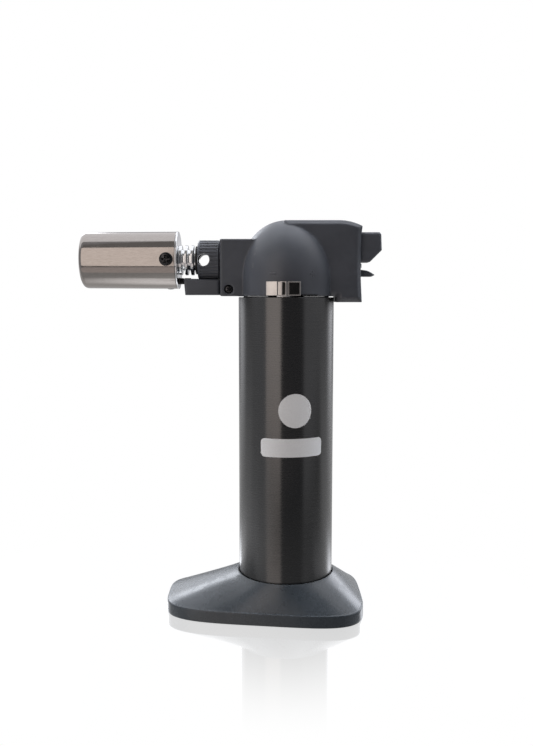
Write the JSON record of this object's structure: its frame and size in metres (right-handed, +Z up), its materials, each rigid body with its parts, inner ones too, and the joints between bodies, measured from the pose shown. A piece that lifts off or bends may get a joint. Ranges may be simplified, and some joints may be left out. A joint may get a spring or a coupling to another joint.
{
  "type": "butane torch",
  "caption": "Bench butane torch: upright round tank on a flared stand, moulded head with trigger, gas slider and air collar, and a horizontal burner barrel.",
  "frame": {"origin": "on the surface it stands on, under the middle of its bounding box", "axes": "+Z up, the flame leaves towards -X, the trigger is towards +X, and the gas slider and the visible head screw are towards -Y"},
  "size_m": [0.1148, 0.0506, 0.1526],
  "materials": {
    "black_plastic": "fine moulded satin",
    "stand_plastic": "smooth satin moulding",
    "natural_plastic": "natural moulded",
    "black_anodised": "black anodised, fine brushed",
    "gunmetal_chrome": "polished gunmetal plating",
    "bright_chrome": "polished chrome plating",
    "plain_steel": "bright zinc plated",
    "black_steel": "black oxide",
    "turned_brass": "turned",
    "black_rubber": "matte",
    "white_ceramic": null,
    "cotton_fibre": "twisted fibre"
  },
  "bodies": {
    "torch_body": {"stand_shell": "stand_plastic", "stand_plate": "black_plastic", "stand_screw_1": "plain_steel", "stand_screw_2": "plain_steel", "stand_screw_3": "plain_steel", "stand_screw_4": "plain_steel", "tank_sleeve": "black_anodised", "fuel_tank": "natural_plastic", "tank_lid": "black_plastic", "lid_seal": "black_rubber", "feed_tube": "natural_plastic", "feed_wick": "cotton_fibre", "refill_valve_body": "turned_brass", "refill_valve_spring": "plain_steel", "outlet_valve_body": "turned_brass", "outlet_valve_spring": "plain_steel", "head_shell_near": "black_plastic", "head_shell_far": "black_plastic", "head_screw": "black_steel", "igniter_shroud": "black_plastic", "lever_pin": "plain_steel", "piezo_body": "natural_plastic", "piezo_spring": "plain_steel", "spark_wire": "black_rubber", "spark_boot": "black_rubber", "gas_tube": "black_rubber", "gas_jet": "turned_brass", "burner_neck": "bright_chrome", "collar_washer": "black_rubber", "barrel_tube": "gunmetal_chrome", "barrel_cap": "bright_chrome", "barrel_screw_1": "black_steel", "barrel_screw_2": "black_steel", "barrel_screw_3": "black_steel", "flame_cup": "plain_steel", "flame_disc": "turned_brass", "spark_insulator": "white_ceramic", "spark_electrode": "plain_steel"},
    "refill_stem": {"refill_valve_stem": "turned_brass"},
    "valve_stem": {"outlet_valve_stem": "turned_brass"},
    "flow_control": {"flow_ring": "plain_steel", "flow_slider": "bright_chrome"},
    "trigger": {"trigger_button": "black_plastic"},
    "plunger": {"piezo_plunger": "natural_plastic"},
    "lever": {"valve_lever": "plain_steel"},
    "lock": {"lock_lever": "black_plastic"},
    "collar": {"air_collar": "black_plastic"}
  },
  "joints": [
    {"name": "trigger_press", "type": "slide", "parent": "torch_body", "child": "trigger", "axis": [-1, 0, 0], "range_m": [0, 0.0045], "stiffness_N_per_m": 1200, "springref_m": -0.003},
    {"name": "plunger_slide", "type": "slide", "parent": "torch_body", "child": "plunger", "axis": [-1, 0, 0], "range_m": [0, 0.0045], "deforming": ["piezo_spring"]},
    {"name": "lever_tilt", "type": "hinge", "parent": "torch_body", "child": "lever", "pos_m": [0.012, 0, 0.1315], "axis": [0, -1, 0], "range_deg": [0, 5.2]},
    {"name": "valve_lift", "type": "slide", "parent": "torch_body", "child": "valve_stem", "axis": [0, 0, 1], "range_m": [0, 0.0009], "deforming": ["outlet_valve_spring", "gas_tube"]},
    {"name": "refill_press", "type": "slide", "parent": "torch_body", "child": "refill_stem", "axis": [0, 0, 1], "range_m": [0, 0.0015], "stiffness_N_per_m": 300, "springref_m": -0.002, "deforming": ["refill_valve_spring"]},
    {"name": "flow_turn", "type": "hinge", "parent": "torch_body", "child": "flow_control", "pos_m": [0.021, 0, 0.124], "axis": [0, 0, 1], "range_deg": [-12, 34]},
    {"name": "lock_swing", "type": "hinge", "parent": "torch_body", "child": "lock", "pos_m": [0.045, 0, 0.132], "axis": [0, 0, 1], "range_deg": [0, 22]},
    {"name": "collar_turn", "type": "hinge", "parent": "torch_body", "child": "collar", "pos_m": [-0.009, 0, 0.1373], "axis": [1, 0, 0], "range_deg": [0, 60]}
  ],
  "couplings": [
    {"joint": "plunger_slide", "follows": "trigger_press", "ratio": 1},
    {"joint": "lever_tilt", "follows": "trigger_press", "rad_per_m": 19.392},
    {"joint": "valve_lift", "follows": "trigger_press", "ratio": 0.1778}
  ]
}
